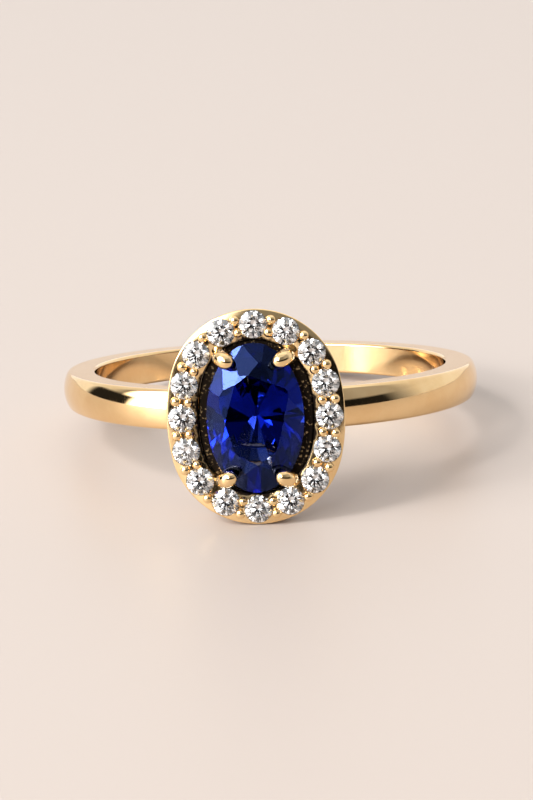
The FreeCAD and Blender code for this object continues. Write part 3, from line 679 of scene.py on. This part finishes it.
def brilliant_facets(azimuths, jitter, table_radius):
    """The facets of a brilliant on the given main azimuths, each set slightly off by the given jitter."""
    girdle, crown, pavilion = 0.03, math.tan(math.radians(34.5)), math.tan(math.radians(41))
    star_slope, upper_half_slope, lower_half_slope = 0.362, 0.883, 0.905
    shake = np.random.default_rng(7)

    def off(amount):
        return float(shake.uniform(-amount, amount)) * jitter

    table_up = girdle + crown * (1 - table_radius)
    facets = [(0, 0, 0, table_up)]
    for k, azimuth in enumerate(azimuths):
        ahead = azimuths[(k + 1) % 8]
        gap = (ahead - azimuth) % 360
        facets.append((azimuth, crown * (1 + off(0.03)), 1.0, girdle))
        facets.append((azimuth, -pavilion * (1 + off(0.03)), 1.0, -girdle))
        star = math.cos(math.radians(gap / 2))
        facets.append((azimuth + gap / 2 + off(2), star_slope, table_radius * star + 0.005, table_up))
        for share in (0.25, 0.75):
            chord = math.cos(math.radians(gap / 4))
            facets.append((azimuth + gap * share + off(1.5), upper_half_slope, chord, girdle))
            facets.append((azimuth + gap * share + off(1.5), -lower_half_slope, chord, -girdle))
    return facets


def center_mesh(name, room):
    """The oval stone, a brilliant with the small unevenness of a hand-cut stone, made larger by some room."""
    azimuths = (-12, 38, 88, 134, 176, 222, 266, 320)
    facets = brilliant_facets(azimuths, jitter=1.0, table_radius=0.6)
    mesh = cut_stone(name, CENTER_HALF_WIDTH + room, CENTER_HALF_LENGTH + room, facets, CENTER_STONE_SIDES)
    mesh.transform(Matrix.Translation((0, -CENTER_GIRDLE_HEIGHT, 0)))
    return outward(mesh, STONE_MERGE)


def make_center():
    """The oval sapphire."""
    stone = add_object("center_sapphire_stone", center_mesh("center_stone", 0))
    place_piece(stone, SAPPHIRE, "sapphire", "center_sapphire")


# ---- the claws ----

def make_claw(name, azimuth, twist):
    """A round wire: foot, outward lean, upright stem, and an almond tip bent square across the stone's edge.

    The tip's bend is turned from the claw's own plane by the twist, in degrees, along the stone's outline.
    """
    foot_rise, foot_bend, shoulder_bend, tip_bend, tip_angle, tip_stretch = 0.2, 0.4, 0.6, 0.45, 58.0, 1.3
    bends = foot_bend + shoulder_bend
    sine, cosine = math.sin(math.radians(CLAW_LEAN)), math.cos(math.radians(CLAW_LEAN))
    run = (CLAW_STEM_RADIUS - CLAW_FOOT_RADIUS - bends * (1 - cosine)) / sine
    upright = CLAW_BEND_HEIGHT - SADDLE_HEIGHT - foot_rise - bends * sine - run * cosine
    line = bent_line((CLAW_FOOT_RADIUS, SADDLE_HEIGHT), 90, [
        (foot_rise,), (foot_bend, -CLAW_LEAN), (run,), (shoulder_bend, CLAW_LEAN), (upright,),
        (tip_bend, tip_angle)])
    end, facing = line[-1]
    ahead = Vector((math.cos(facing), math.sin(facing)))
    widths = [CLAW_WIRE_RADIUS] * len(line)
    dome_steps = 14
    for step in range(1, dome_steps):
        angle = math.pi / 2 * step / dome_steps
        line.append((end + ahead * CLAW_WIRE_RADIUS * tip_stretch * math.sin(angle), facing))
        widths.append(CLAW_WIRE_RADIUS * math.cos(angle))
    sides, rings = 40, []
    for (spot, heading), width in zip(line, widths):
        share = min(max((spot.y - CLAW_BEND_HEIGHT) / upright + 1, 0), 1)
        turn = math.radians(twist) * share
        loop = []
        for side in range(sides):
            angle = 2 * math.pi * side / sides
            out = spot.x - CLAW_STEM_RADIUS + math.sin(heading) * width * math.cos(angle)
            height = spot.y - math.cos(heading) * width * math.cos(angle)
            across = width * math.sin(angle)
            loop.append((out * math.sin(turn) + across * math.cos(turn), -height,
                         CLAW_STEM_RADIUS + out * math.cos(turn) - across * math.sin(turn)))
        rings.append(loop)
    mesh = loft(name, rings, joined=False)
    mesh.transform(Matrix.Rotation(math.radians(azimuth), 4, "Y"))
    claw = add_object(name, mesh)
    notch = add_object("claw_notch", center_mesh("claw_notch", SEAT_CLEARANCE))
    smooth(outward(cut_away(claw, notch)), CLAW_SHARP_ANGLE)
    place_piece(claw, HEAD_GOLD, "gold", name.replace("_wire", ""))


# ---- the halo ----

def turned_solid(name, outline, sides):
    """A solid turned about -Y from (radius, height) points."""
    angles = [2 * math.pi * i / sides for i in range(sides)]
    rings = [[(radius * math.sin(angle), -height, radius * math.cos(angle)) for angle in angles]
             for radius, height in outline]
    return loft(name, rings, joined=False)


def tray_section():
    """The tray's section as (offset, height) points: a slightly crowned front on a tapered plate."""
    depth, edge = TRAY_FRONT_HEIGHT - TRAY_BACK_HEIGHT, TRAY_FRONT_HEIGHT - TRAY_CROWN_DROP
    offsets = [0.55 - 0.1 * step for step in range(12)]
    crown = [(offset, TRAY_FRONT_HEIGHT - TRAY_CROWN_DROP * (offset / TRAY_OUTER_OFFSET) ** 2)
             for offset in offsets]
    back_corner = (TRAY_OUTER_OFFSET - depth * TRAY_TAPER, TRAY_BACK_HEIGHT)
    corners = [(-TRAY_INNER_OFFSET, TRAY_BACK_HEIGHT), back_corner, (TRAY_OUTER_OFFSET, edge), *crown,
               (-TRAY_INNER_OFFSET, edge)]
    return rounded(corners, [0.06, 0.1, 0.07, *[0] * len(crown), 0.07], 4)


def make_tray():
    """The tray: an oval plate with a seat, a small bright chamfer and an open back for each round stone."""
    plate = add_object("halo_tray_plate", sweep_oval("tray", Oval(*HALO_OVAL), tray_section(), TRAY_STEPS))
    seat, chamfer, ledge, overrun = HALO_STONE_RADIUS + SEAT_CLEARANCE, 0.04, HALO_GIRDLE_HEIGHT - 0.04, 0.5
    cone_slope = 0.87
    drill = turned_solid("drill", [
        (seat + chamfer, TRAY_FRONT_HEIGHT + overrun), (seat + chamfer, TRAY_FRONT_HEIGHT),
        (seat, TRAY_FRONT_HEIGHT - chamfer), (seat, ledge),
        (AZURE_RADIUS, ledge - (seat - AZURE_RADIUS) * cone_slope),
        (AZURE_RADIUS, TRAY_BACK_HEIGHT - overrun)], DRILL_SIDES)
    points, faces = [], []
    for centre in HALO_CENTRES:
        first = len(points)
        points += [(v.co.x + centre.x, v.co.y, v.co.z + centre.z) for v in drill.vertices]
        faces += [tuple(first + i for i in face.vertices) for face in drill.polygons]
    smooth(cut_away(plate, add_object("drills", mesh_of("drills", points, faces))), TRAY_SHARP_ANGLE)
    place_piece(plate, TRAY_GOLD, "gold", "halo_tray")


def make_diamonds(tree):
    """The sixteen round diamonds."""
    azimuths = [45 * k for k in range(8)]
    facets = brilliant_facets(azimuths, jitter=0, table_radius=0.57)
    cut = cut_stone("round_stone", HALO_STONE_RADIUS, HALO_STONE_RADIUS, facets, ROUND_STONE_SIDES)
    stone = add_object("round_stone", outward(cut, STONE_MERGE))
    spots = [(centre.x, -HALO_GIRDLE_HEIGHT, centre.z) for centre in HALO_CENTRES]
    diamonds = add_object("halo_diamonds", mesh_of("halo_diamonds", spots, []))
    run_tree(diamonds, tree, part=stone, turn_step=math.radians(HALO_TURN_STEP), tilt=math.radians(2),
             size_spread=0.004, seed=3, material=DIAMOND)
    bpy.data.objects.remove(stone)
    place_piece(diamonds, DIAMOND, "diamond", *HALO_NODES)


def grain_outline():
    """Half a grain's outline: a dome on a short foot sunk into the tray."""
    foot_depth, foot_share, steps = 0.1, 0.97, 8
    quarter = [math.pi / 2 * step / steps for step in range(steps)]
    dome = [(GRAIN_RADIUS * math.cos(angle), GRAIN_HEIGHT * math.sin(angle)) for angle in quarter]
    return [(GRAIN_RADIUS * foot_share, -foot_depth), *dome, (GRAIN_RADIUS * 0.05, GRAIN_HEIGHT * 0.999)]


def make_grains(tree):
    """The raised grains: a pair between neighbouring stones, or only the outer one where a claw stands."""
    oval, spots, count = Oval(*HALO_OVAL), [], len(HALO_CENTRES)
    for number in range(count):
        (x, z), (right, up) = oval.at((number + 0.5) / count)
        azimuth = abs(math.degrees(math.atan2(x, z)))
        from_claw = min(abs(azimuth - CLAW_AZIMUTH), abs(azimuth - 180 + CLAW_AZIMUTH))
        at_claw = from_claw < GRAIN_TO_CLAW_ANGLE
        for side in (1,) if at_claw else (1, -1):
            reach = side * GRAIN_OFFSET
            spots.append((x + right * reach, -TRAY_FRONT_HEIGHT, z + up * reach))
    grain = add_object("grain", smooth(turned_solid("grain", grain_outline(), GRAIN_SIDES)))
    grains = add_object("halo_grains", mesh_of("halo_grains", spots, []))
    run_tree(grains, tree, part=grain, turn_step=math.radians(GRAIN_TURN_STEP),
             tilt=math.radians(4), size_spread=0.08,
             seed=11, material=HEAD_GOLD)
    bpy.data.objects.remove(grain)
    place_piece(grains, HEAD_GOLD, "gold", "halo_tray")


# ---- camera, light and floor ----

def make_camera():
    """The camera, in front of the head and a little above the ring's own plane, very slightly rolled."""
    azimuth, elevation, roll = (math.radians(a) for a in (3.5, 7.9, -1.71))
    distance, lens = 150.0, 138.6
    aim_right, aim_down = -0.195, 0.925
    back = Vector((math.sin(azimuth) * math.cos(elevation), -math.cos(azimuth) * math.cos(elevation),
                   math.sin(elevation)))
    level = Vector((math.cos(azimuth), math.sin(azimuth), 0))
    over = back.cross(level)
    right = level * math.cos(roll) + over * math.sin(roll)
    up = over * math.cos(roll) - level * math.sin(roll)
    spot = back * distance
    aim = right * aim_right - up * aim_down
    back = (spot - aim).normalized()
    right = (right - back * right.dot(back)).normalized()
    turn = Matrix((right, back.cross(right), back)).transposed().to_4x4()
    camera = bpy.data.objects.new("camera", bpy.data.cameras.new("camera"))
    bpy.context.scene.collection.objects.link(camera)
    camera.data.lens = lens
    camera.data.clip_start, camera.data.clip_end = 0.01, 10
    camera.matrix_world = Matrix.Translation(LAID_DOWN @ spot) @ Matrix.Rotation(-LEAN, 4, "X") @ turn
    bpy.context.scene.camera = camera


def make_floor():
    """A plain pale stone top."""
    level, reach = CAD_BOX[0].z, 1.5
    corners = [(-reach, -reach, level), (reach, -reach, level), (reach, reach, level), (-reach, reach, level)]
    material = bpy.data.materials.new("pale_stone_top")
    material.use_nodes = True
    skin = material.node_tree.nodes["Principled BSDF"]
    skin.inputs["Base Color"].default_value = (0.475, 0.405, 0.36, 1)
    skin.inputs["Roughness"].default_value = 0.45
    mesh = mesh_of("floor", corners, [(0, 1, 2, 3)])
    mesh.materials.append(material)
    add_object("floor", mesh)


def ramp(tree, source, stops):
    """A grey level that changes evenly between stops, each (place from 0 to 1, level)."""
    node = add_node(tree, "ShaderNodeValToRGB", {0: source})
    elements = node.color_ramp.elements
    elements[0].position, elements[1].position = stops[0][0], stops[-1][0]
    inner = [elements.new(place) for place, _ in stops[1:-1]]
    for element, (_, level) in zip((elements[0], *inner, elements[-1]), stops):
        element.color = (level, level, level, 1)
    return node.outputs[0]


def make_world():
    """A soft studio: a bright window on the left, dark panels in front and beside, and a pale room behind.

    Each band of the room is a list of (azimuth, level). Azimuth runs from the viewer's side to the right.
    """
    world = bpy.data.worlds.new("studio")
    bpy.context.scene.world = world
    world.use_nodes = True
    tree = world.node_tree
    x, y, z = add_node(tree, "ShaderNodeSeparateXYZ", {
        0: add_node(tree, "ShaderNodeTexCoord").outputs["Generated"]}).outputs
    azimuth = math_node(tree, "ARCTAN2", x, math_node(tree, "MULTIPLY", y, -1.0))
    turn = add_node(tree, "ShaderNodeMapRange", {
        "Value": azimuth, "From Min": -math.pi, "From Max": math.pi}).outputs[0]

    def around(*stops):
        return ramp(tree, turn, [((degrees + 180) / 360, level) for degrees, level in stops])

    def above(first, last):
        return between(tree, z, math.sin(math.radians(first)), math.sin(math.radians(last)))

    low = around((-180, 1.2), (-122, 1.1), (-116, 0.02), (-84, 0.02), (-79, 4.5), (-56, 4.5), (-52, 1.3),
                 (-37, 1.3), (-32, 0.01), (44, 0.01), (70, 0.02), (82, 0.4), (96, 0.9), (180, 1.2))
    middle = around((-180, 1.1), (-108, 0.9), (-94, 0.3), (-86, 5.0), (-48, 5.0), (-43, 3.0), (-16, 3.0),
                    (-9, 0.25), (30, 0.25), (60, 0.45), (84, 0.45), (100, 0.9), (180, 1.1))
    top = around((-180, 1.3), (-105, 1.3), (-85, 0.9), (85, 0.9), (105, 1.3), (180, 1.3))
    room = mixed(tree, above(52, 60), mixed(tree, above(16, 20), low, middle), top)
    seen = add_node(tree, "ShaderNodeLightPath").outputs["Is Camera Ray"]
    shown = mixed(tree, seen, room, (0.86, 0.82, 0.79, 1))
    tree.links.new(shown, tree.nodes["Background"].inputs["Color"])


def make_light(name, azimuth, elevation, size, power):
    """A square soft light, aimed at the head. Azimuth runs from the viewer's side to the right."""
    a, e, distance = math.radians(azimuth), math.radians(elevation), 0.5
    spot = Vector((math.sin(a) * math.cos(e), -math.cos(a) * math.cos(e), math.sin(e))) * distance
    target = Vector((0, CAD_BOX[0].y, 0))
    light = bpy.data.objects.new(name, bpy.data.lights.new(name, "AREA"))
    light.data.energy = power
    light.data.size = size
    light.matrix_world = Matrix.Translation(target + spot) @ spot.to_track_quat("Z", "Y").to_matrix().to_4x4()
    bpy.context.scene.collection.objects.link(light)


bpy.context.scene.view_settings.view_transform = "Standard"
make_camera()
make_floor()
make_world()
make_light("key", azimuth=-61, elevation=25, size=0.1, power=0.9)
make_light("fill", azimuth=-56, elevation=49, size=0.09, power=0.8)
make_light("rim", azimuth=-21, elevation=26, size=0.08, power=0.5)

make_shank()
make_rail("base_rail_hoop", "base_rail", HEAD_GOLD, oval=(1.5, 1.1, 0.95), half_wall=0.3, back=SADDLE_HEIGHT,
          depth=0.6, edge_round=0.08)
make_rail("seat_rail_hoop", "seat_rail", RAIL_GOLD, oval=(3.09, 2.22, 2.12), half_wall=0.405, back=10.98,
          depth=0.4, edge_round=0.1)
make_center()
for corner, angle, way in (("upper_left", -CLAW_AZIMUTH, -1), ("upper_right", CLAW_AZIMUTH, 1),
                           ("lower_left", CLAW_AZIMUTH - 180, 1), ("lower_right", 180 - CLAW_AZIMUTH, -1)):
    make_claw(f"claw_{corner}_wire", angle, way * CLAW_TWIST)
make_tray()
SCATTER = scatter_tree()
make_diamonds(SCATTER)
make_grains(SCATTER)
